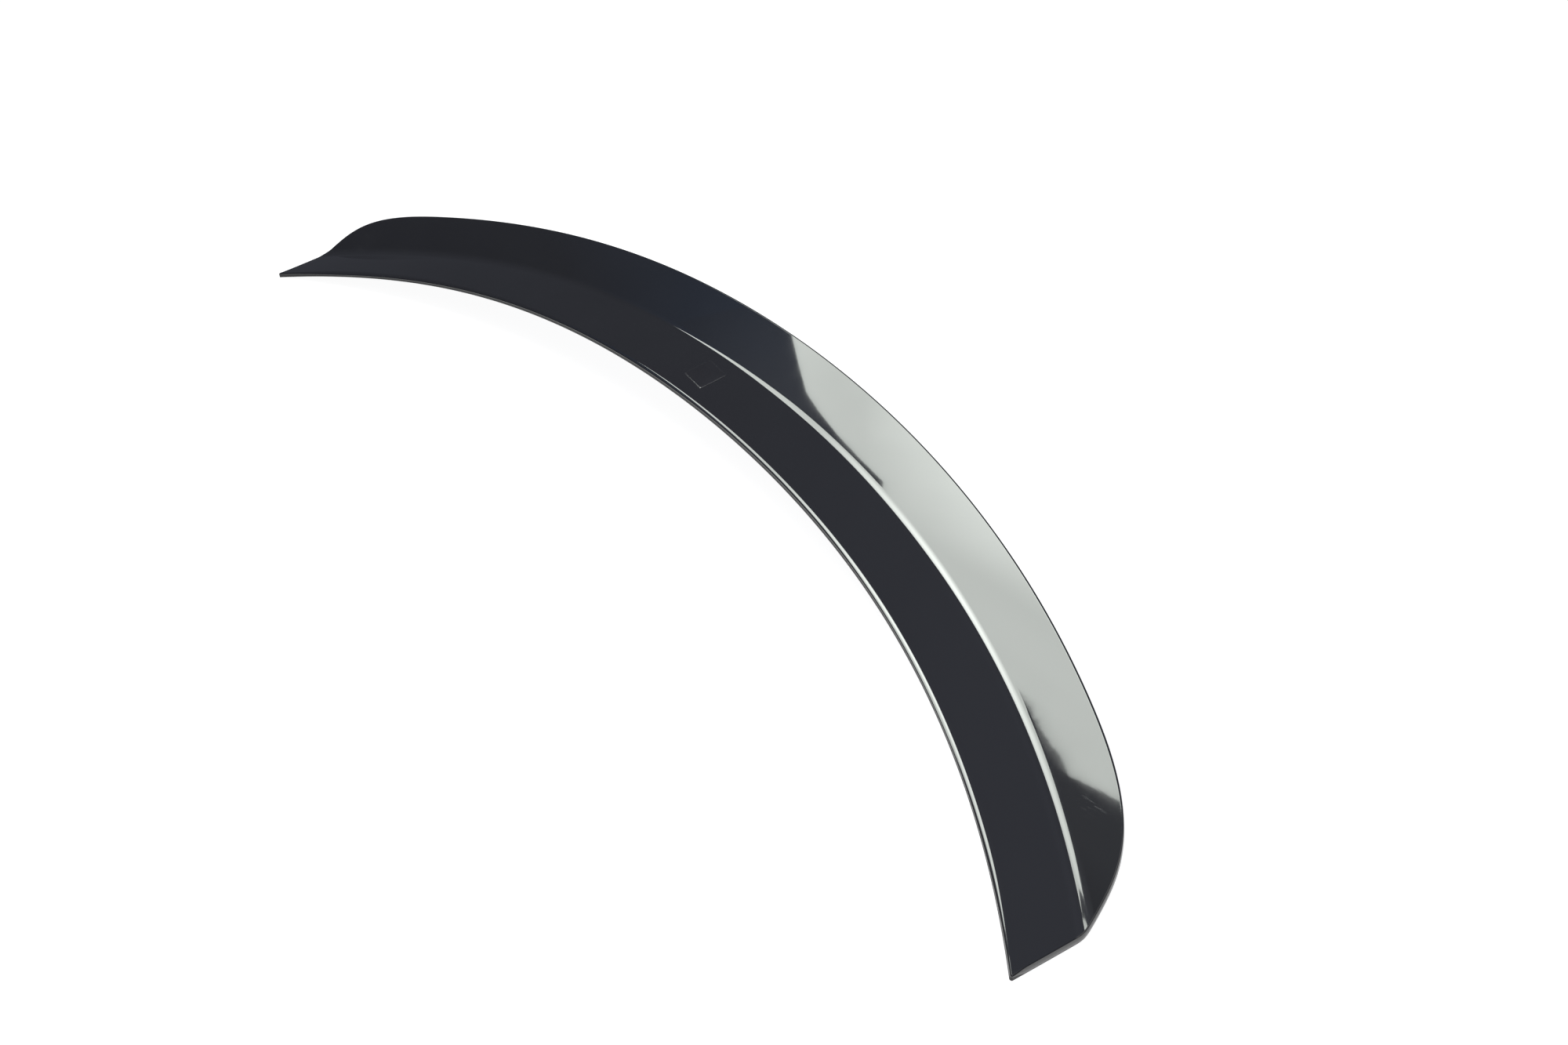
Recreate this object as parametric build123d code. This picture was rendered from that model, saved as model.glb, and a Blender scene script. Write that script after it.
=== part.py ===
from build123d import *
from math import cos, radians, sin, tan
import os

os.makedirs("parts", exist_ok=True)

# Boot-lid spoiler thermoformed from one sheet: a bonding flange in front, a soft crease, a kicked-up
# lip that runs out at both ends, and a shallow rim turned down all round over the hollow underside.
# X runs across the car, Y to the rear and Z up, from the foot of the front rim on the centreline.

half_span = 603.0  # centreline to the front corners
sweep = 112.6  # how far the ends come forward, square term
tip_sweep = 58.0  # the same, fourth-power term
crown = 64.9  # how far the ends lie below the middle

flange_width = 61.2  # front edge to crease at the middle
flange_narrowing = 7.1  # less at the ends
flange_rise = 10.6  # degrees up to the rear at the middle
flange_droop = 14.6  # degrees less at the ends
lip_width = 57.5  # crease to trailing edge at the middle
lip_narrowing = 7.1  # less at the ends
lip_rise = 33.2  # degrees up to the rear at the middle
lip_steepening = 5.2  # degrees more at the ends
crease_radius = 22.0

wall = 3.0  # sheet thickness
rim = 5.0  # depth of the rim turned down all round
nose_radius = 3.0  # rounding of the front edge into the rim

end_lead = 22.3  # how much further in the ends meet the crease than the front edge
knee_radius = 25.0  # rounding of the outline there
shoulder = 145.0  # length of the ends over which the trailing edge turns down to the crease
shoulder_pull = 120.0  # how far the trailing edge's direction is held into that turn
knee_pull = 37.0  # how far the direction at the crease is held into it
knee_lean = 13.9  # degrees by which the lip's ends lean in from straight back at the crease

overrun = 50.0  # how far the skin runs past the outline that trims it
stations = 13  # sections of the skin, and points along the long edges


def station(inboard):
    """Place along the span as -1 to 1 from corner to corner, a distance in from the end."""
    return 1 - inboard / half_span


def spread(inboard):
    """Evenly spaced stations from end to end, a distance in from both ends."""
    return [station(inboard) * (2 * i / (stations - 1) - 1) for i in range(stations)]


def foot(t):
    """Foot of the front rim."""
    return Vector(half_span * t, -sweep * t**2 - tip_sweep * t**4, -crown * t**2)


def rearward(t):
    """Direction square to the front edge in plan."""
    return Vector((2 * sweep * t + 4 * tip_sweep * t**3) / half_span, 1, 0).normalized()


def flange(t):
    """Width of the flange and its rise."""
    return flange_width - flange_narrowing * t**2, radians(flange_rise - flange_droop * t**2)


def lip(t):
    """Width of the lip and its rise."""
    return lip_width - lip_narrowing * t**2, radians(lip_rise + lip_steepening * t**2)


def front_plan(t):
    return Vector(foot(t).X, foot(t).Y)


def crease_plan(t):
    width, rise = flange(t)
    return front_plan(t) + rearward(t) * (width * cos(rise))


def trailing_plan(t):
    width, rise = lip(t)
    return crease_plan(t) + rearward(t) * (width * cos(rise))


def section(t, top, floor):
    """Section square to the front edge, between two depths under the show surface."""
    flange_length, flange_angle = flange(t)
    lip_length, lip_angle = lip(t)
    half_kink = (lip_angle - flange_angle) / 2
    along_flange = Vector(cos(flange_angle), sin(flange_angle))
    along_lip = Vector(cos(lip_angle), sin(lip_angle))
    under_flange = Vector(along_flange.Y, -along_flange.X)
    under_lip = Vector(along_lip.Y, -along_lip.X)
    under_crease = (under_flange + under_lip).normalized() / cos(half_kink)
    crease = Vector(0, rim) + along_flange * flange_length
    tail = crease + along_lip * (lip_length + overrun)

    def profile(depth):
        edge = Vector(0, rim - depth)
        corner = crease + under_crease * depth
        heading = (corner - edge).normalized()
        bend = (crease_radius + depth) * tan(half_kink)
        nose = edge - heading * overrun
        end = tail + under_lip * depth
        Line(nose, corner - heading * bend)
        TangentArc(corner - heading * bend, corner + along_lip * bend, tangent=heading)
        Line(corner + along_lip * bend, end)
        return nose, end

    square_plane = Plane(foot(t), x_dir=rearward(t), z_dir=rearward(t).cross(Vector(0, 0, 1)))
    with BuildSketch(square_plane) as cut:
        with BuildLine():
            upper_ends = profile(top)
            lower_ends = profile(floor)
            Line(upper_ends[0], lower_ends[0])
            Line(upper_ends[1], lower_ends[1])
        make_face()
    return cut.sketch


def skin(top, floor):
    """The bent skin between two depths, lofted from end to end."""
    return loft([section(t, top, floor) for t in spread(-overrun)])


def outline(inset):
    """Plan outline, set in by a distance, with its front corners and knees left sharp."""
    with BuildSketch() as shape:
        with BuildLine():
            leading = Spline([front_plan(t) + rearward(t) * inset for t in spread(inset)])
            trailing = Spline([trailing_plan(t) - rearward(t) * inset for t in spread(shoulder)])
            for end, side in ((0, -1), (1, 1)):
                onward = (trailing % end) * side
                knee = crease_plan(side * station(end_lead + inset))
                upward = Vector(-side * sin(radians(knee_lean)), cos(radians(knee_lean)))
                turn_out = trailing @ end + onward * (shoulder_pull - inset / 2)
                turn_in = knee + upward * (knee_pull - inset / 2)
                Bezier(trailing @ end, turn_out, turn_in, knee)
                Line(knee, leading @ end)
        make_face()
    return shape.sketch


def block(inset):
    """Upright block on the outline, with its knees rounded."""
    upright = extrude(Plane.XY.offset(-3 * crown) * outline(inset), 6 * crown)
    knees = upright.edges().filter_by(Axis.Z).sort_by(Axis.Y)[2:4]
    return fillet(knees, knee_radius - inset)


def front_edge(body):
    """Edge between the flange and the upright front of the rim."""
    upper = body.faces().filter_by(lambda face: face.normal_at().Z > 0.5)
    front = body.faces().filter_by(lambda face: face.normal_at().Y < -0.99)
    return upper.edges() & front.edges()


formed = skin(0, rim) & block(0)
formed = fillet(front_edge(formed), nose_radius)
hollow = skin(wall, rim + overrun) & block(wall)
spoiler_shell = formed - hollow

export_step(spoiler_shell, "parts/spoiler_shell.step")
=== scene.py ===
"""Looks of a gloss-black boot-lid spoiler.

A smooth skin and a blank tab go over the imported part, with their finish and a studio set.
"""

import math

import bpy
import numpy as np
from mathutils import Matrix, Vector


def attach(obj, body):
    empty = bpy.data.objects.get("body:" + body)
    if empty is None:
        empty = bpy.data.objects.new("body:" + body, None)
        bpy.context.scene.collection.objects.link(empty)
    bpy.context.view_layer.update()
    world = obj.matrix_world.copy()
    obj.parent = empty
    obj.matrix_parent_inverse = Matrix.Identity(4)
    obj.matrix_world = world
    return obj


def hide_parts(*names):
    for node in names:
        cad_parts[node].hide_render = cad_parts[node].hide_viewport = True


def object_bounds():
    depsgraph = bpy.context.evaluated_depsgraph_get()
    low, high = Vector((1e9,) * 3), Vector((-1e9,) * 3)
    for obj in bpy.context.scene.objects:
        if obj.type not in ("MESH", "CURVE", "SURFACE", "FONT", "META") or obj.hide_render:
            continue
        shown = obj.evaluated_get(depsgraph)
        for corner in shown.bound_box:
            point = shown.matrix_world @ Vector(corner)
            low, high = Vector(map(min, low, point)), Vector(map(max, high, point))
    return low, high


# Sizes of the part in metres and degrees, under the names that its source uses.
HALF_SPAN = 0.603  # centreline to the front corners
SWEEP = 0.1126  # how far the ends come forward, square term
TIP_SWEEP = 0.0580  # the same, fourth-power term
CROWN = 0.0649  # how far the ends lie below the middle
FLANGE_WIDTH = 0.0612  # front edge to crease at the middle
FLANGE_NARROWING = 0.0071  # less at the ends
FLANGE_RISE = 10.6  # up to the rear at the middle
FLANGE_DROOP = 14.6  # less at the ends
LIP_WIDTH = 0.0575  # crease to trailing edge at the middle
LIP_NARROWING = 0.0071  # less at the ends
LIP_RISE = 33.2  # up to the rear at the middle
LIP_STEEPENING = 5.2  # more at the ends
CREASE_RADIUS = 0.022
WALL = 0.003  # sheet thickness
RIM = 0.005  # depth of the rim turned down all round
END_LEAD = 0.0223  # how much further in the ends meet the crease than the front edge
KNEE_RADIUS = 0.025  # rounding of the outline there
SHOULDER = 0.145  # length of the ends over which the trailing edge turns down to the crease
SHOULDER_PULL = 0.120  # how far the trailing edge's direction is held into that turn
KNEE_PULL = 0.037  # how far the direction at the crease is held into it
KNEE_LEAN = 13.9  # lean of the lip's ends from straight back at the crease

# Rounding of the sheet into the rim: two radii, one after the other, and the tilt at which they
# meet. Along the front it rolls over softly and then turns tightly down. At the ends a tight edge
# runs into a bulging wall. Elsewhere both radii are the plain one.
EDGE_RADIUS = 0.0015  # plain radius, at the front corners and along the trailing edge
NOSE_ROLL = 0.010  # soft radius along the front
NOSE_TILT = 34.0
NOSE_RADIUS = 0.0013  # tight radius along the front
NOSE_EASE = 0.09  # length over which they come in from each corner
END_RADIUS = 0.0010  # tight radius at the ends
END_TILT = 60.0
END_BULGE = 0.008  # radius of the bulging wall
END_EASE = 0.012  # length over which they come in from the corner
BULGE_TO = 0.20  # length of outline from the corner to where they have run out
BULGE_EASE = 0.09  # length over which they run out

# Fineness of the skin.
COLUMNS = 400
ROWS = 90
ROUNDING_STEPS = 6
CORNER_STEPS = 6
TRAILING_FROM = 45.0  # direction of the outline's normal where its ends pass into the trailing edge

# Fineness of the sums behind it.
FINE = 4000  # points of a finely divided curve
STRAIGHT_POINTS = 60
KNEE_POINTS = 12
CLOSING_ROUNDS = 12  # rounds in which a place is closed in on
FIRST_GUESS = 0.95  # where a station's search starts, as a share of the way across
HALVINGS = 60
SLOPE_STEP = 1e-4  # distance over which a slope is taken
SAME_PLACE = 1e-7  # distance under which two points are one

# Material slots of the skin. The upright wall of the rim is matt, like the back.
SHOW, BACK = 0, 1

# Square tab stuck on the flange.
TAB_CENTRE = (-0.0079, 0.0327)  # in plan
TAB_SIZE = (0.0318, 0.0289)
TAB_TURN = -7.0
TAB_CORNER = 0.0015  # rounding of its corners
TAB_EDGE = 0.0006  # thickness at its edge
TAB_DOME = 0.0003  # more in the middle
TAB_SUNK = 0.0002  # depth of its foot below the show surface
TAB_FACE = 0.95  # share of its size within the rounded edge
TAB_DOME_RINGS = (0.8, 0.6, 0.4, 0.2)  # shares of its size
TAB_CORNER_POINTS = 7
TAB_ROUND_STEPS = 6

# Finish of the show surface. Scales are of noise, for each metre.
NOISE_RANGE = (0.3, 0.7)  # values that most of a noise lies between
SHEET_BLACKS = (0.0050, 0.0050, 0.0058, 1), (0.0070, 0.0070, 0.0080, 1)
SHEET_BLACKS_SCALE = 14.0
GLOSS_IOR = 1.6  # of the plastic and of its coat
SHEET_COAT_ROUGHNESS = 0.02
HAZE = (0.03, 0.05)  # roughness under the coat
HAZE_SCALE = 35.0
WAVES_SCALE = 11.0
WAVES_HEIGHT = 0.00005
RIPPLES_SCALE = 55.0
RIPPLES_SHARE = 0.06  # of the waves' height

# Dust and wear on it.
DUST_COLOUR = (0.035, 0.034, 0.032, 1)
DUST_CELLS = 160.0
DUST_FROM = 0.93  # chance above which a cell has a speck
DUST_SPECK = (0.03, 0.07)  # radii of full and no dust, in cells
DUST_COVER = 0.6
SCUFF = ((0.557, -0.047, -0.0266), 0.013, 150.0)  # place, reach and direction of its scratches
SCRATCH = ((-0.576, -0.068, -0.037), 0.018, 12.0)
SCRATCH_SHARE = 0.5  # how strong it is beside the scuff
SCRATCH_SCALES = (60, 900, 60)  # along, across and down
SCRATCH_EDGE = (0.56, 0.66)  # noise at which a scratch begins and is full
SCRATCH_CORE = 0.3  # share of the reach that has its full strength
WORN_COLOUR = (0.10, 0.10, 0.10, 1)
WORN_COVER = 0.5
MARKS_ROUGHNESS = 0.2  # more roughness under dust and wear

# Finish of the tab. Its rounded edge is paler, a painted highlight that stands for the gloss on the
# dome's edge.
TAB_FACE_BLACKS = (0.0055, 0.0052, 0.0058, 1), (0.0085, 0.0080, 0.0088, 1)
# Paler greys of the rounded edge: a painted highlight.
TAB_EDGE_PAINTED_HIGHLIGHT = (0.035, 0.035, 0.036, 1), (0.055, 0.055, 0.057, 1)
TAB_BLACKS_SCALE = 120.0
TAB_ROUGHNESS = (0.06, 0.12)
TAB_ROUGHNESS_SCALE = 300.0
TAB_COAT_ROUGHNESS = 0.05

# Finish of the back.
BACK_BLACKS = (0.014, 0.014, 0.015, 1), (0.022, 0.022, 0.023, 1)
BACK_BLACKS_SCALE = 20.0
BACK_ROUGHNESS = 0.45
BACK_GRAIN_SCALE = 900.0
BACK_GRAIN_HEIGHT = 0.0001
BACK_GRAIN_STRENGTH = 0.5

# Camera, fitted to the photo's perspective.
CAMERA_AT = (0.89592, -0.58319, 0.68483)
CAMERA_RIGHT = (0.61859, 0.78571, 0.00011)
CAMERA_UP = (-0.48421, 0.38111, 0.78759)
CAMERA_BACK = (0.61877, -0.48725, 0.6162)
SENSOR = 36.0
LENS = 30.6
CLIP = (0.01, 100)

# Key light: azimuth, elevation and distance of its panel, the outlines of the panel and of a flap
# beside it in metres across and up, and its brightness at the edge and in the middle.
KEY_FROM = (-165.0, 50.0, 1.4)
KEY_OUTLINE = [
    (-0.290, -0.230), (-0.215, -0.170), (-0.050, -0.085), (0.100, -0.030), (0.143, 0.002),
    (0.265, 0.105), (0.350, 0.100), (0.550, 0.075), (0.590, 0.051), (0.637, 0.046),
    (0.606, 0.088), (0.574, 0.117), (0.568, 0.185), (0.530, 0.400), (0.475, 0.575),
    (0.330, 0.815), (0.245, 1.000), (0.195, 0.840), (-0.150, 0.565), (-0.190, 0.490),
    (-0.315, 0.060), (-0.315, -0.150),
]
KEY_FLAP = [(0.215, 1.060), (0.400, 0.765), (0.440, 0.780), (0.255, 1.090)]
KEY_EDGE, KEY_CENTRE = 4.75, 9.5
KEY_HOT = (0.13, 0.47, 0.05, 0.40)  # middle, and radii of the middle's and the edge's brightness
KEY_COLOUR = (0.95, 1.0, 0.95)
CLOTH_SCALE = 7.0
CLOTH_SHADE = (0.97, 1.03)  # unevenness of the panel's cloth

# Faint glows behind the key light: middle, radii of full and no glow, strength and colour.
GLOW_FROM = (-165.0, 50.0, 1.45)
GLOWS = {
    "key_glow": ((0.45, 0.25, 0.40, 0.72), 0.17, (0.90, 0.94, 1.0)),
    "cool_glow": ((-0.02, -0.12, 0.05, 0.40), 0.10, (0.15, 0.45, 1.0)),
}
GLOW_POINTS = 48

# Fill light from the other side.
FILL_FROM = (-20.0, 55.0, 2.6)
FILL_OUTLINE = [(-1.2, -0.7), (1.2, -0.7), (1.2, 0.7), (-1.2, 0.7)]
FILL_BRIGHTNESS = 1.0
FILL_COLOUR = (1.0, 1.0, 1.0)

# Floor, and its white beyond what the lamps give it, to the camera and in reflections.
FLOOR_REACH = 12.0
FLOOR_GREY = 0.35
FLOOR_SEEN = 0.94
FLOOR_MIRRORED = 0.85

# Dim surroundings: brightness at the horizon and overhead, how late it rises between them, and
# colour. Towards the front only a share of it is left, which fades in from SKY_BACK to SKY_FRONT
# along the Y of the direction.
SKY_HORIZON, SKY_OVERHEAD, SKY_POWER = 0.09, 0.36, 2.6
SKY_COLOUR = (0.80, 0.84, 1.02, 1)
SKY_FRONT, SKY_BACK, SKY_FRONT_SHARE = -0.4, 0.2, 0.85


def foot(t):
    """Front edge in plan, t running from -1 to 1 between the corners."""
    return np.stack([HALF_SPAN * t, -SWEEP * t**2 - TIP_SWEEP * t**4], -1)


def slope(t):
    """How far the front edge comes forward for each metre across."""
    return (2 * SWEEP * t + 4 * TIP_SWEEP * t**3) / HALF_SPAN


def unit(v):
    """Vectors brought to a length of 1."""
    return v / np.linalg.norm(v, axis=-1, keepdims=True)


def rearward(t):
    """Direction square to the front edge in plan."""
    return unit(np.stack([slope(t), np.ones_like(t)], -1))


def flange(t):
    """Width of the flange and its rise."""
    rise = np.radians(FLANGE_RISE - FLANGE_DROOP * t**2)
    return FLANGE_WIDTH - FLANGE_NARROWING * t**2, rise


def lip(t):
    """Width of the lip and its rise."""
    rise = np.radians(LIP_RISE + LIP_STEEPENING * t**2)
    return LIP_WIDTH - LIP_NARROWING * t**2, rise


def crease_plan(t):
    """Crease in plan."""
    width, rise = flange(t)
    return foot(t) + rearward(t) * (width * np.cos(rise))[..., None]


def trailing_plan(t):
    """Trailing edge in plan, before the ends are cut to the outline."""
    width, rise = lip(t)
    return crease_plan(t) + rearward(t) * (width * np.cos(rise))[..., None]


def locate(plan):
    """Station t of each plan point and its distance w behind the front edge."""
    t = plan[..., 0] / HALF_SPAN * FIRST_GUESS
    for _ in range(CLOSING_ROUNDS):
        away = plan - foot(t)
        square = rearward(t)
        w = (away * square).sum(-1)
        along = away[..., 0] * square[..., 1] - away[..., 1] * square[..., 0]
        stretch = 1 + slope(t) ** 2
        bend = (2 * SWEEP + 12 * TIP_SWEEP * t**2) / HALF_SPAN**2 / stretch**1.5
        t = t + along / (HALF_SPAN * np.sqrt(stretch) * (1 + bend * w))
    return t, ((plan - foot(t)) * rearward(t)).sum(-1)


def height(plan, depth):
    """Height of the bent sheet at plan points, at a depth below its show surface."""
    t, w = locate(plan)
    flange_width, flange_rise = flange(t)
    lip_rise = lip(t)[1]

    # Corner where flange and lip would meet without the crease's radius.
    half_kink = (lip_rise - flange_rise) / 2
    mean = (lip_rise + flange_rise) / 2
    corner_w = flange_width * np.cos(flange_rise) + depth * np.sin(mean) / np.cos(half_kink)
    corner_z = RIM + flange_width * np.sin(flange_rise) - depth * np.cos(mean) / np.cos(half_kink)
    edge_z = RIM - depth
    heading = np.arctan2(corner_z - edge_z, corner_w)

    # Arc of the crease.
    radius = CREASE_RADIUS + depth
    bend = radius * np.tan(half_kink)
    start_w = corner_w - bend * np.cos(heading)
    end_w = corner_w + bend * np.cos(lip_rise)
    centre_w = start_w - radius * np.sin(heading)
    centre_z = corner_z - bend * np.sin(heading) + radius * np.cos(heading)
    arc = centre_z - np.sqrt(np.maximum(radius**2 - (w - centre_w) ** 2, 0))

    before = edge_z + w * np.tan(heading)
    after = corner_z + (w - corner_w) * np.tan(lip_rise)
    return np.where(w < start_w, before, np.where(w > end_w, after, arc)) - CROWN * t**2


def facing(plan, depth):
    """Upward unit normal of the sheet at plan points."""
    across = np.array([SLOPE_STEP, 0])
    back = np.array([0, SLOPE_STEP])
    dx = (height(plan + across, depth) - height(plan - across, depth)) / (2 * SLOPE_STEP)
    dy = (height(plan + back, depth) - height(plan - back, depth)) / (2 * SLOPE_STEP)
    return unit(np.stack([-dx, -dy, np.ones_like(dx)], -1))


def on_sheet(plan, depth):
    """Plan points lifted onto the sheet."""
    return np.concatenate([plan, height(plan, depth)[..., None]], -1)


def levelled(plan):
    """Plan directions as level ones in space."""
    return np.concatenate([plan, np.zeros((len(plan), 1))], -1)


def bezier(a, b, c, d, count):
    """Points along a cubic curve from a to d."""
    s = np.linspace(0, 1, count)[:, None]
    return (1 - s) ** 3 * a + 3 * (1 - s) ** 2 * s * b + 3 * (1 - s) * s**2 * c + s**3 * d


def lengths(path):
    """Length along a path to each of its points."""
    return np.concatenate([[0], np.cumsum(np.linalg.norm(np.diff(path, axis=0), axis=1))])


def read_off(rows, run, stops):
    """Rows of pairs that lie at lengths run along a path, read off at other lengths."""
    return np.stack([np.interp(stops, run, rows[:, k]) for k in range(2)], -1)


def outward(path):
    """Unit normals to the right-hand side of a path."""
    run = lengths(path)
    along = np.stack([np.gradient(path[:, k], run) for k in range(2)], -1)
    return unit(np.stack([along[:, 1], -along[:, 0]], -1))


def ease(share):
    """Smooth step from 0 to 1."""
    share = np.clip(share, 0, 1)
    return share * share * (3 - 2 * share)


def end_outline():
    """Right-hand end of the outline, from the sharp corner to the middle of the trailing edge."""
    corner = foot(np.array(1.0))
    knee = crease_plan(np.array(1 - END_LEAD / HALF_SPAN))
    lean = math.radians(KNEE_LEAN)
    upward = np.array([-math.sin(lean), math.cos(lean)])
    entry = unit(knee - corner)
    turn = math.acos(float(entry @ upward))
    cut = KNEE_RADIUS * math.tan(turn / 2)
    inward = np.array([-entry[1], entry[0]])
    knee_from = knee - entry * cut
    centre = knee_from + inward * KNEE_RADIUS
    swing = np.linspace(0, turn, KNEE_POINTS)[:, None]
    knee_arc = centre + KNEE_RADIUS * (np.sin(swing) * entry - np.cos(swing) * inward)
    half_trailing = trailing_plan(np.linspace(1 - SHOULDER / HALF_SPAN, 0, FINE))
    onward = unit(half_trailing[0] - half_trailing[1])
    heel = half_trailing[0]
    turned = bezier(knee, knee + upward * KNEE_PULL, heel + onward * SHOULDER_PULL, heel, FINE)
    turned = turned[lengths(turned) > cut]
    straight = corner + (knee_from - corner) * np.linspace(0, 1, STRAIGHT_POINTS)[:, None]
    return np.concatenate([straight[:-1], knee_arc[:-1], turned[:-1], half_trailing])


def corner_seat(entry_normal):
    """Station and centre of the right front corner's rounding, a radius in from both sides."""
    corner = foot(np.array(1.0))
    near, far = 0.9, 1.0  # stations that it lies between
    for _ in range(HALVINGS):
        t = np.array((near + far) / 2)
        seat = foot(t) + rearward(t) * EDGE_RADIUS
        if (corner - seat) @ entry_normal > EDGE_RADIUS:
            near = t
        else:
            far = t
    return t, seat


def coons(south, east, north, west):
    """Grid of plan points filled in between four sides, as [column, row]."""
    u = np.linspace(0, 1, len(south))[:, None, None]
    v = np.linspace(0, 1, len(east))[None, :, None]
    ruled = (1 - v) * south[:, None] + v * north[:, None] + (1 - u) * west[None] + u * east[None]
    low = (1 - u) * south[0] + u * south[-1]
    high = (1 - u) * north[0] + u * north[-1]
    return ruled - (1 - v) * low - v * high


# A side of the outline is a row of five: points, outward normals, both radii of the rounding and
# the tilt between them.


def mirrored(points):
    """Plan points taken to the other end."""
    return points * np.array([-1, 1])


def mirrored_side(side):
    """A side taken to the other end."""
    points, normals, *rounding = side
    return mirrored(points), mirrored(normals), *rounding


def from_plain(radius, full):
    """A radius on its way from the plain one, by shares."""
    return EDGE_RADIUS + (radius - EDGE_RADIUS) * full


def front_side(corner_t):
    """The front, between the stations of its corners."""
    fine_t = np.linspace(-corner_t, corner_t, FINE)
    run = lengths(foot(fine_t))
    stops = np.linspace(0, run[-1], COLUMNS + 1)
    t = np.interp(stops, run, fine_t)
    full = ease(np.minimum(stops, stops[-1] - stops) / NOSE_EASE)
    soft, tight = from_plain(NOSE_ROLL, full), from_plain(NOSE_RADIUS, full)
    return foot(t), -rearward(t), soft, tight, np.full(len(stops), NOSE_TILT)


def corner_side(seat, before, after):
    """Rounding of the right front corner between two normals, without its first and last point."""
    start = math.atan2(before[1], before[0])
    stop = math.atan2(after[1], after[0])
    turns = np.linspace(0, 1, CORNER_STEPS + 2)[1:-1, None]
    angles = start + (stop - start) * turns
    fan = np.concatenate([np.cos(angles), np.sin(angles)], -1)
    radii = np.full(CORNER_STEPS, EDGE_RADIUS)
    return seat + EDGE_RADIUS * fan, fan, radii, radii, np.full(CORNER_STEPS, END_TILT)


def outline_sides():
    """Front, right end and back of the outline, and the seat of the corner's rounding."""
    end = end_outline()
    total = lengths(end)[-1]
    end = read_off(end, lengths(end), np.linspace(0, total, 2 * FINE))
    run = lengths(end)
    normals = outward(end)
    corner_t, seat = corner_seat(normals[0])
    along = np.array([-normals[0][1], normals[0][0]])
    start = float((seat - end[0]) @ along)
    split = run[np.argmax(normals[:, 1] > math.sin(math.radians(TRAILING_FROM)))]

    def side(stops):
        """The side at lengths round the end."""
        full = ease((stops - start) / END_EASE) * ease((BULGE_TO - stops) / BULGE_EASE)
        edge, bulge = from_plain(END_RADIUS, full), from_plain(END_BULGE, full)
        directions = unit(read_off(normals, run, stops))
        return read_off(end, run, stops), directions, edge, bulge, np.full(len(stops), END_TILT)

    east = side(np.linspace(start, split, ROWS + 1))
    half = side(np.linspace(split, total, COLUMNS // 2 + 1))
    north = tuple(
        np.concatenate([left[:-1], right[::-1]]) for left, right in zip(mirrored_side(half), half)
    )
    return front_side(corner_t), east, north, seat


def swung(a, b, angle, turn):
    """Unit vectors an angle away from a on the way to b, where the whole way is a given turn."""
    return unit(np.sin(turn - angle) * a + np.sin(angle) * b)


def turn_between(a, b):
    """Angle between unit vectors."""
    return np.arccos(np.clip((a * b).sum(-1, keepdims=True), -1, 1))


def rolled(up, level, tilt):
    """Direction at which the first radius passes into the second."""
    turn = turn_between(up, level)
    return swung(up, level, turn - np.radians(90 - tilt), turn)


def contact(side):
    """Plan points where the rounding of a side meets the show surface."""
    points, directions, *rounding = side
    first, second, tilt = (values[:, None] for values in rounding)
    level = levelled(directions)
    touch = points - second * directions
    for _ in range(CLOSING_ROUNDS):
        up = facing(touch, 0.0)
        passing = rolled(up, level, tilt)
        reach = (first - second) * passing[:, :2]
        touch = points - second * directions - reach + first * up[:, :2]
    return touch


def hollow(sides, outer, normals, seat):
    """Inner edge of the rim all round and the grid of the sheet's underside, in plan.

    At the front corners the rounding is tighter than the sheet is thick, so the inner edge comes to
    a point there.
    """
    bend = slice(COLUMNS, COLUMNS + CORNER_STEPS + 2)
    before, after = normals[bend][0], normals[bend][-1]
    bisector = unit(before + after)
    tip = seat - bisector * (WALL - EDGE_RADIUS) / (bisector @ before)
    inner = outer - WALL * normals
    inner[bend] = tip
    inner[0] = mirrored(tip)
    inner[-CORNER_STEPS - 1 :] = mirrored(tip)
    south, east, north, west = (side[0] - WALL * side[1] for side in sides)
    south[0], south[-1] = mirrored(tip), tip
    east[0], west[0] = tip, mirrored(tip)
    return inner, coons(south, east, north, west)


def edge_of(grid):
    """Numbers round the edge of a grid in the outline's order, repeated at the front corners."""
    right, left = np.full(CORNER_STEPS, grid[-1, 0]), np.full(CORNER_STEPS, grid[0, 0])
    back, left_end = grid[::-1, -1], grid[0, ::-1]
    return np.concatenate([grid[:, 0], right, grid[-1, :], back[1:], left_end[1:], left])


class Shell:
    """Points, faces, corner normals and material slots of the skin."""

    def __init__(self):
        self.points, self.faces, self.corners, self.slots = [], [], [], []
        self.count = 0

    def place(self, points):
        """Adds points and gives their numbers."""
        self.points.append(points)
        self.count += len(points)
        return np.arange(self.count - len(points), self.count)

    def band(self, a, b, normals_a, normals_b, slot):
        """Adds faces between two closed rings, a above or outside b."""
        after = np.roll(np.arange(len(a)), -1)
        self.faces.append(np.stack([a, b, b[after], a[after]], -1))
        self.corners.append(
            np.stack([normals_a, normals_b, normals_b[after], normals_a[after]], 1)
        )
        self.slots.append(np.full(len(a), slot))

    def sheet(self, grid, normals, flip, slot):
        """Adds faces over a grid."""
        around = [grid[:-1, :-1], grid[1:, :-1], grid[1:, 1:], grid[:-1, 1:]]
        quads = np.stack(around, -1).reshape(-1, 4)
        if flip:
            quads = quads[:, ::-1]
        self.faces.append(quads)
        self.corners.append(normals[quads - grid[0, 0]])
        self.slots.append(np.full(len(quads), slot))

    def rows(self):
        """All points, faces, corner normals and slots."""
        return [
            np.concatenate(rows) for rows in (self.points, self.faces, self.corners, self.slots)
        ]


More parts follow.
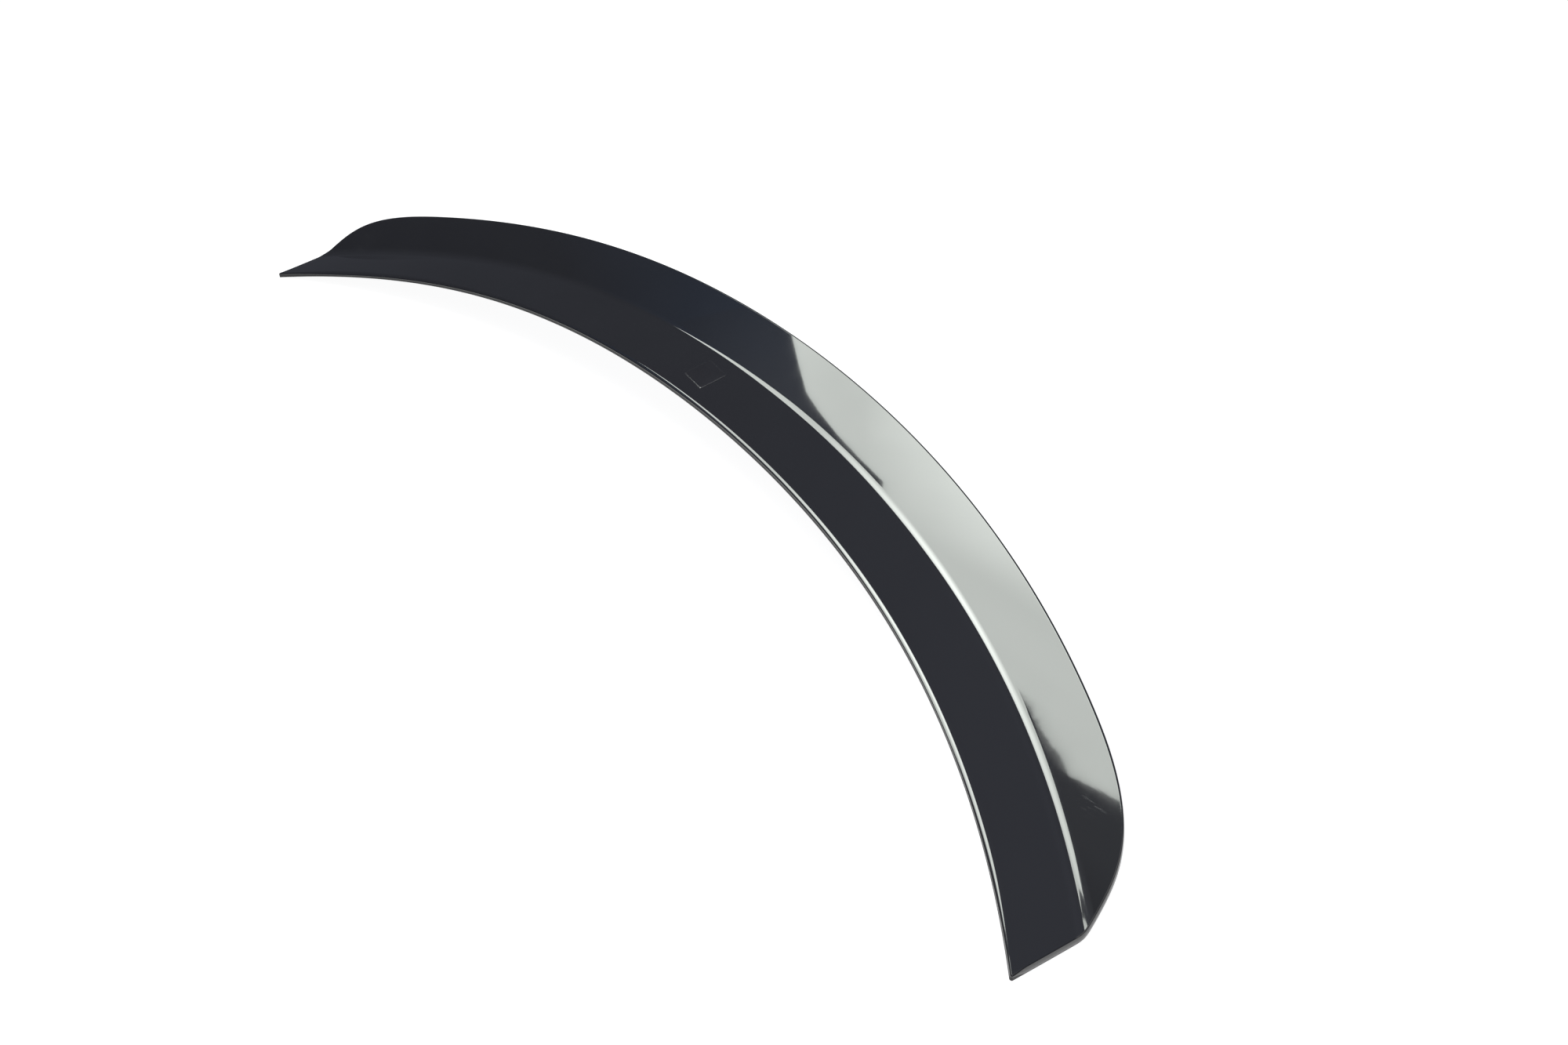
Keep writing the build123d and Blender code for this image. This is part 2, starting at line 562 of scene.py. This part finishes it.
def build_skin():
    """Points, faces, corner normals and material slots of the whole shell."""
    south, east, north, seat = outline_sides()
    west = mirrored_side(east)
    corner = corner_side(seat, south[1][-1], east[1][0])
    around = (
        south,
        corner,
        east,
        tuple(row[::-1][1:] for row in north),
        tuple(row[::-1][1:] for row in west),
        tuple(row[::-1] for row in mirrored_side(corner)),
    )
    outer, normals, *rounding = (np.concatenate(rows) for rows in zip(*around))
    first, second, tilt = (values[:, None] for values in rounding)

    sides = (south, east, north, west)
    top = coons(*(contact(side) for side in sides))
    inner, under = hollow(sides, outer, normals, seat)
    shell = Shell()
    top_points = on_sheet(top, 0.0).reshape(-1, 3)
    top_normals = facing(top, 0.0).reshape(-1, 3)
    top_grid = shell.place(top_points).reshape(top.shape[:2])
    under_points = on_sheet(under, WALL).reshape(-1, 3)
    under_normals = -facing(under, WALL).reshape(-1, 3)
    under_grid = shell.place(under_points).reshape(under.shape[:2])

    loop = edge_of(top_grid)
    up, level = top_normals[loop], levelled(normals)
    passing = rolled(up, level, tilt)
    first_centre = top_points[loop] - first * up
    second_centre = first_centre + (first - second) * passing
    arcs = ((first_centre, first, up, passing), (second_centre, second, passing, level))
    rings = [(loop, up)]
    for centre, radii, a, b in arcs:
        turn = turn_between(a, b)
        for share in np.linspace(0, 1, ROUNDING_STEPS + 1)[1:]:
            swing = swung(a, b, share * turn, turn)
            rings.append((shell.place(centre + radii * swing), swing))
    foot_ring = shell.place(on_sheet(outer, RIM))
    inner_ring = shell.place(on_sheet(inner, RIM))

    shell.sheet(top_grid, top_normals, False, SHOW)
    for (above, above_normals), (below, below_normals) in zip(rings, rings[1:]):
        shell.band(above, below, above_normals, below_normals, SHOW)
    down = np.tile([0.0, 0.0, -1.0], (len(outer), 1))
    shell.band(rings[-1][0], foot_ring, level, level, BACK)
    shell.band(foot_ring, inner_ring, down, down, BACK)
    shell.band(inner_ring, edge_of(under_grid), -level, -level, BACK)
    shell.sheet(under_grid, under_normals, True, BACK)
    return shell.rows()


def put(name, data):
    """New object of a mesh or a camera, in the scene."""
    obj = bpy.data.objects.new(name, data)
    bpy.context.scene.collection.objects.link(obj)
    return obj


def mesh_from(name, points, quads, corner_normals, slots, materials):
    """Mesh object from quads, where one with a doubled corner becomes a triangle or is left out."""
    sides = np.linalg.norm(points[quads] - points[np.roll(quads, -1, 1)], axis=-1)
    doubled = sides < SAME_PLACE
    faces, normals, kinds = [], [], []
    rows = zip(quads.tolist(), doubled.tolist(), corner_normals, slots.tolist())
    for quad, same, normal, slot in rows:
        keep = [k for k in range(4) if not same[k]]
        if len(keep) >= 3:
            faces.append([quad[k] for k in keep])
            normals.extend(normal[keep])
            kinds.append(slot)
    used = np.unique(np.concatenate([np.array(f) for f in faces]))
    renumber = np.full(len(points), -1)
    renumber[used] = np.arange(len(used))
    mesh = bpy.data.meshes.new(name)
    mesh.from_pydata(points[used].tolist(), [], [[int(renumber[i]) for i in f] for f in faces])
    mesh.polygons.foreach_set("use_smooth", [True] * len(mesh.polygons))
    mesh.polygons.foreach_set("material_index", kinds)
    for material in materials:
        mesh.materials.append(material)
    mesh.normals_split_custom_set([tuple(n) for n in normals])
    mesh.update()
    return put(name, mesh)


def tab_rim():
    """Edge of the tab in plan, about its own middle."""
    arc = np.radians(np.linspace(0, 90, TAB_CORNER_POINTS))
    rim = []
    for quarter, signs in enumerate(((1, 1), (-1, 1), (-1, -1), (1, -1))):
        seat = (np.array(TAB_SIZE) / 2 - TAB_CORNER) * signs
        turned = arc + math.radians(90 * quarter)
        rim.append(seat + TAB_CORNER * np.stack([np.cos(turned), np.sin(turned)], -1))
    return np.concatenate(rim)


def build_tab(face, edge):
    """Thin blank tab with a slightly domed face, laid on the flange; its rounded edge takes the
    paler material with the painted highlight.
    """
    rim = tab_rim()
    count = len(rim)
    turn = math.radians(TAB_TURN)
    spin = np.array([[math.cos(turn), math.sin(turn)], [-math.sin(turn), math.cos(turn)]])
    rings = [(1.0, -TAB_SUNK)]
    for tilt in np.radians(np.linspace(0, 90, TAB_ROUND_STEPS)):
        rings.append((1 - (1 - TAB_FACE) * (1 - math.cos(tilt)), TAB_EDGE * math.sin(tilt)))
    for share in TAB_DOME_RINGS:
        rings.append((share, TAB_EDGE + TAB_DOME * (1 - share**2 / TAB_FACE**2)))
    points = []
    for share, rise in rings:
        ring = on_sheet(share * rim @ spin + TAB_CENTRE, 0.0)
        points.append(ring + np.array([0, 0, rise]))
    faces = []
    for ring in range(len(rings) - 1):
        for k in range(count):
            a, b = ring * count + k, ring * count + (k + 1) % count
            faces.append((a, b, b + count, a + count))
    faces.append(tuple(range((len(rings) - 1) * count, len(rings) * count)))
    faces.append(tuple(reversed(range(count))))
    mesh = bpy.data.meshes.new("blank_tab")
    mesh.from_pydata(np.concatenate(points).tolist(), [], faces)
    mesh.polygons.foreach_set("use_smooth", [True] * (len(faces) - 1) + [False])
    mesh.materials.append(face)
    mesh.materials.append(edge)
    on_edge = TAB_ROUND_STEPS * count
    # The faces of the rounded edge get the paler material, a painted highlight.
    mesh.polygons.foreach_set("material_index", [1] * on_edge + [0] * (len(faces) - on_edge))
    mesh.update()
    return put("blank_tab", mesh)


class Nodes:
    """Shorthand for building a node tree."""

    def __init__(self, tree):
        self.tree = tree

    def add(self, kind, **settings):
        """New node with some of its settings."""
        node = self.tree.nodes.new(kind)
        for key, value in settings.items():
            setattr(node, key, value)
        return node

    def link(self, source, target):
        """Links an output to an input."""
        self.tree.links.new(source, target)

    def feed(self, socket, value):
        """Sets a socket to a number, or links it."""
        if isinstance(value, (int, float, tuple)):
            socket.default_value = value
        else:
            self.link(value, socket)

    def place(self):
        """Place on the object."""
        return self.add("ShaderNodeTexCoord").outputs["Object"]

    def noise(self, where, scale, detail=2.0):
        """Plain noise."""
        node = self.add("ShaderNodeTexNoise")
        node.inputs["Scale"].default_value = scale
        node.inputs["Detail"].default_value = detail
        self.link(where, node.inputs["Vector"])
        return node.outputs["Fac"]

    def between(self, value, low_in, high_in, low, high):
        """A value brought from one range to another, and held there."""
        node = self.add("ShaderNodeMapRange")
        keys = ("From Min", "From Max", "To Min", "To Max")
        for key, number in zip(keys, (low_in, high_in, low, high)):
            self.feed(node.inputs[key], number)
        self.link(value, node.inputs["Value"])
        return node.outputs["Result"]

    def patches(self, where, scale, low, high, detail=2.0):
        """Noise from a low to a high value."""
        return self.between(self.noise(where, scale, detail), *NOISE_RANGE, low, high)

    def math(self, operation, a, b):
        """Result of a math operation on two values."""
        node = self.add("ShaderNodeMath", operation=operation)
        self.feed(node.inputs[0], a)
        self.feed(node.inputs[1], b)
        return node.outputs["Value"]

    def distance(self, where, place):
        """Distance from a fixed place."""
        node = self.add("ShaderNodeVectorMath", operation="DISTANCE")
        self.link(where, node.inputs[0])
        node.inputs[1].default_value = place
        return node.outputs["Value"]

    def blend(self, share, a, b):
        """Mix of two colours."""
        node = self.add("ShaderNodeMix", data_type="RGBA")
        self.link(share, node.inputs["Factor"])
        self.feed(node.inputs["A"], a)
        self.feed(node.inputs["B"], b)
        return node.outputs["Result"]

    def scratches(self, where, place, reach, turn):
        """Bundle of fine parallel scratches round a place, as a mask."""
        aligned = self.add("ShaderNodeMapping")
        self.link(where, aligned.inputs["Vector"])
        aligned.inputs["Rotation"].default_value = (0, 0, math.radians(-turn))
        aligned.inputs["Scale"].default_value = SCRATCH_SCALES
        streaks = self.noise(aligned.outputs["Vector"], scale=1.0, detail=3.0)
        lines = self.between(streaks, *SCRATCH_EDGE, 0.0, 1.0)
        fade = self.between(self.distance(where, place), SCRATCH_CORE * reach, reach, 1.0, 0.0)
        return self.math("MULTIPLY", lines, fade)

    def bumps(self, heights, distance, strength=1.0):
        """Normal of a surface with small heights on it."""
        node = self.add("ShaderNodeBump")
        node.inputs["Strength"].default_value = strength
        node.inputs["Distance"].default_value = distance
        self.link(heights, node.inputs["Height"])
        return node.outputs["Normal"]


def new_material(name):
    """Material with its nodes and its shader."""
    material = bpy.data.materials.new(name)
    material.use_nodes = True
    nodes = Nodes(material.node_tree)
    return material, nodes, material.node_tree.nodes["Principled BSDF"]


def lacquer(shader, roughness):
    """Gives a shader a clear gloss coat."""
    shader.inputs["IOR"].default_value = GLOSS_IOR
    shader.inputs["Coat Weight"].default_value = 1.0
    shader.inputs["Coat IOR"].default_value = GLOSS_IOR
    shader.inputs["Coat Roughness"].default_value = roughness


def dust_specks(nodes, where):
    """Rare small specks, as a mask."""
    specks = nodes.add("ShaderNodeTexVoronoi")
    specks.inputs["Scale"].default_value = DUST_CELLS
    nodes.link(where, specks.inputs["Vector"])
    chance = nodes.add("ShaderNodeSeparateColor")
    nodes.link(specks.outputs["Color"], chance.inputs["Color"])
    rare = nodes.math("GREATER_THAN", chance.outputs["Red"], DUST_FROM)
    near = nodes.between(specks.outputs["Distance"], *DUST_SPECK, 1.0, 0.0)
    return nodes.math("MULTIPLY", rare, near)


def gloss_black():
    """Lacquered black sheet with slight waves, haze, dust and a few fine scratches."""
    material, nodes, shader = new_material("gloss_black")
    where = nodes.place()
    colour = nodes.blend(nodes.patches(where, SHEET_BLACKS_SCALE, 0.0, 1.0), *SHEET_BLACKS)
    dust = dust_specks(nodes, where)
    colour = nodes.blend(nodes.math("MULTIPLY", dust, DUST_COVER), colour, DUST_COLOUR)
    scratch = nodes.math("MULTIPLY", nodes.scratches(where, *SCRATCH), SCRATCH_SHARE)
    worn = nodes.math("ADD", nodes.scratches(where, *SCUFF), scratch)
    colour = nodes.blend(nodes.math("MULTIPLY", worn, WORN_COVER), colour, WORN_COLOUR)
    nodes.link(colour, shader.inputs["Base Color"])

    haze = nodes.patches(where, HAZE_SCALE, *HAZE, detail=4.0)
    marks = nodes.math("MULTIPLY", nodes.math("ADD", dust, worn), MARKS_ROUGHNESS)
    nodes.link(nodes.math("ADD", haze, marks), shader.inputs["Roughness"])
    lacquer(shader, SHEET_COAT_ROUGHNESS)

    ripples = nodes.math("MULTIPLY", nodes.noise(where, RIPPLES_SCALE), RIPPLES_SHARE)
    heights = nodes.math("ADD", nodes.noise(where, WAVES_SCALE), ripples)
    waves = nodes.bumps(heights, WAVES_HEIGHT)
    nodes.link(waves, shader.inputs["Normal"])
    nodes.link(waves, shader.inputs["Coat Normal"])
    return material


def tab_black_and_edge_highlight(name, blacks):
    """Smooth dark plastic of the tab. Given the paler greys, it paints the highlight on the tab's
    rounded edge.
    """
    material, nodes, shader = new_material(name)
    where = nodes.place()
    tone = nodes.patches(where, TAB_BLACKS_SCALE, 0.0, 1.0)
    nodes.link(nodes.blend(tone, *blacks), shader.inputs["Base Color"])
    rough = nodes.patches(where, TAB_ROUGHNESS_SCALE, *TAB_ROUGHNESS)
    nodes.link(rough, shader.inputs["Roughness"])
    lacquer(shader, TAB_COAT_ROUGHNESS)
    return material


def sheet_back():
    """Matt back of the sheet, with a fine grain."""
    material, nodes, shader = new_material("sheet_back")
    where = nodes.place()
    tone = nodes.patches(where, BACK_BLACKS_SCALE, 0.0, 1.0, detail=4.0)
    nodes.link(nodes.blend(tone, *BACK_BLACKS), shader.inputs["Base Color"])
    shader.inputs["Roughness"].default_value = BACK_ROUGHNESS
    grain = nodes.noise(where, BACK_GRAIN_SCALE)
    uneven = nodes.bumps(grain, BACK_GRAIN_HEIGHT, BACK_GRAIN_STRENGTH)
    nodes.link(uneven, shader.inputs["Normal"])
    return material


def direction(azimuth, elevation):
    """Unit vector towards an azimuth and elevation."""
    a, e = math.radians(azimuth), math.radians(elevation)
    return Vector((math.cos(e) * math.cos(a), math.cos(e) * math.sin(a), math.sin(e)))


def glowing(name, edge, colour, hot, veil):
    """Material of a panel of light."""
    material = bpy.data.materials.new(name)
    material.use_nodes = True
    nodes = Nodes(material.node_tree)
    material.node_tree.nodes.clear()
    glow = nodes.add("ShaderNodeEmission")
    glow.inputs["Color"].default_value = (*colour, 1)
    glow.inputs["Strength"].default_value = edge
    if hot:
        centre, (a, b, near, far) = hot
        where = nodes.place()
        fall = nodes.between(nodes.distance(where, (a, b, 0)), near, far, centre, edge)
        cloth = nodes.patches(where, CLOTH_SCALE, *CLOTH_SHADE)
        nodes.link(nodes.math("MULTIPLY", fall, cloth), glow.inputs["Strength"])
    surface = glow.outputs["Emission"]
    if veil:
        both = nodes.add("ShaderNodeAddShader")
        nodes.link(surface, both.inputs[0])
        nodes.link(nodes.add("ShaderNodeBsdfTransparent").outputs["BSDF"], both.inputs[1])
        surface = both.outputs["Shader"]
    nodes.link(surface, nodes.add("ShaderNodeOutputMaterial").inputs["Surface"])
    return material


def softbox(name, aim, outline, edge, colour, hot=None, veil=False):
    """Panel of light square to a direction, its outline given across and up from there.

    Its brightness may rise to a hot centre, and a veil adds its glow to what is behind it.
    """
    azimuth, elevation, distance = aim
    outwards = direction(azimuth, elevation)
    across = Vector((-math.sin(math.radians(azimuth)), math.cos(math.radians(azimuth)), 0))
    placed = Matrix((across, outwards.cross(across), outwards)).transposed().to_4x4()
    placed.translation = outwards * distance
    mesh = bpy.data.meshes.new(name)
    mesh.from_pydata([(a, b, 0) for a, b in outline], [], [list(range(len(outline)))])
    mesh.materials.append(glowing(name, edge, colour, hot, veil))
    panel = put(name, mesh)
    panel.matrix_world = placed
    panel.visible_camera = False


def floor(ground):
    """White floor: it looks white to the camera and in reflections, and takes a faint shadow."""
    mesh = bpy.data.meshes.new("floor")
    signs = ((-1, -1), (1, -1), (1, 1), (-1, 1))
    mesh.from_pydata([(x * FLOOR_REACH, y * FLOOR_REACH, 0) for x, y in signs], [], [[0, 1, 2, 3]])
    plane = put("floor", mesh)
    plane.location.z = ground
    material, nodes, shader = new_material("floor")
    shader.inputs["Base Color"].default_value = (FLOOR_GREY, FLOOR_GREY, FLOOR_GREY, 1)
    shader.inputs["Roughness"].default_value = 1.0
    shader.inputs["Specular IOR Level"].default_value = 0.0
    rays = nodes.add("ShaderNodeLightPath").outputs
    bounced = nodes.math("MAXIMUM", rays["Is Glossy Ray"], rays["Is Transmission Ray"])
    seen = nodes.math("MULTIPLY", rays["Is Camera Ray"], FLOOR_SEEN)
    shown = nodes.math("ADD", seen, nodes.math("MULTIPLY", bounced, FLOOR_MIRRORED))
    shader.inputs["Emission Color"].default_value = (1, 1, 1, 1)
    nodes.link(shown, shader.inputs["Emission Strength"])
    mesh.materials.append(material)


def surroundings():
    """Dim studio, darker towards the horizon and the front, and white behind the object."""
    world = bpy.data.worlds.new("surroundings")
    bpy.context.scene.world = world
    world.use_nodes = True
    nodes = Nodes(world.node_tree)
    looking = nodes.add("ShaderNodeSeparateXYZ")
    nodes.link(nodes.add("ShaderNodeTexCoord").outputs["Generated"], looking.inputs["Vector"])
    rise = nodes.math("POWER", nodes.math("MAXIMUM", looking.outputs["Z"], 0.0), SKY_POWER)
    overhead = nodes.between(rise, 0.0, 1.0, SKY_HORIZON, SKY_OVERHEAD)
    side = nodes.between(looking.outputs["Y"], SKY_FRONT, SKY_BACK, SKY_FRONT_SHARE, 1.0)
    dim = world.node_tree.nodes["Background"]
    dim.inputs["Color"].default_value = SKY_COLOUR
    nodes.link(nodes.math("MULTIPLY", overhead, side), dim.inputs["Strength"])
    white = nodes.add("ShaderNodeBackground")
    white.inputs["Color"].default_value = (1, 1, 1, 1)
    choice = nodes.add("ShaderNodeMixShader")
    nodes.link(nodes.add("ShaderNodeLightPath").outputs["Is Camera Ray"], choice.inputs["Fac"])
    nodes.link(dim.outputs["Background"], choice.inputs[1])
    nodes.link(white.outputs["Background"], choice.inputs[2])
    nodes.link(choice.outputs["Shader"], world.node_tree.nodes["World Output"].inputs["Surface"])


def studio(ground):
    """Floor, softboxes and surroundings."""
    floor(ground)
    softbox("key_box", KEY_FROM, KEY_OUTLINE, KEY_EDGE, KEY_COLOUR, hot=(KEY_CENTRE, KEY_HOT))
    softbox("key_flap", KEY_FROM, KEY_FLAP, KEY_EDGE, KEY_COLOUR)
    turns = [2 * math.pi * k / GLOW_POINTS for k in range(GLOW_POINTS)]
    for name, (spot, strength, colour) in GLOWS.items():
        a, b, _, far = spot
        disc = [(a + far * math.cos(turn), b + far * math.sin(turn)) for turn in turns]
        softbox(name, GLOW_FROM, disc, 0.0, colour, hot=(strength, spot), veil=True)
    softbox("fill_box", FILL_FROM, FILL_OUTLINE, FILL_BRIGHTNESS, FILL_COLOUR)
    surroundings()


def camera():
    """The photo's camera."""
    lens = bpy.data.cameras.new("camera")
    lens.sensor_width = SENSOR
    lens.lens = LENS
    lens.clip_start, lens.clip_end = CLIP
    placed = Matrix((CAMERA_RIGHT, CAMERA_UP, CAMERA_BACK)).transposed().to_4x4()
    placed.translation = CAMERA_AT
    eye = put("camera", lens)
    eye.matrix_world = placed
    bpy.context.scene.camera = eye


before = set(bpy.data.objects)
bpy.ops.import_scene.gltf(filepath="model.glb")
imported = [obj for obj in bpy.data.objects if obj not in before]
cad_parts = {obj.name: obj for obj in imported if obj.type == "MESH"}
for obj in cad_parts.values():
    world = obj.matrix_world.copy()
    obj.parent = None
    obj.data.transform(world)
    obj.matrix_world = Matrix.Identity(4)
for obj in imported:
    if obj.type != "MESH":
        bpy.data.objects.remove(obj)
cad_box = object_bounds()

bpy.context.scene.view_settings.view_transform = "Standard"

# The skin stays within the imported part's box to the last digit.
shell_points, *shell_faces = build_skin()
shell_points = np.clip(shell_points, cad_box[0], cad_box[1])
skin = mesh_from("spoiler_skin", shell_points, *shell_faces, [gloss_black(), sheet_back()])
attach(skin, "root")
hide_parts("spoiler_shell")

tab_face = tab_black_and_edge_highlight("tab_face", TAB_FACE_BLACKS)
# The edge material is paler: a painted highlight on the tab's rounded edge.
tab_edge_painted_highlight = tab_black_and_edge_highlight("tab_edge_painted_highlight", TAB_EDGE_PAINTED_HIGHLIGHT)
tab = build_tab(tab_face, tab_edge_painted_highlight)
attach(tab, "root")

studio(cad_box[0].z)
camera()
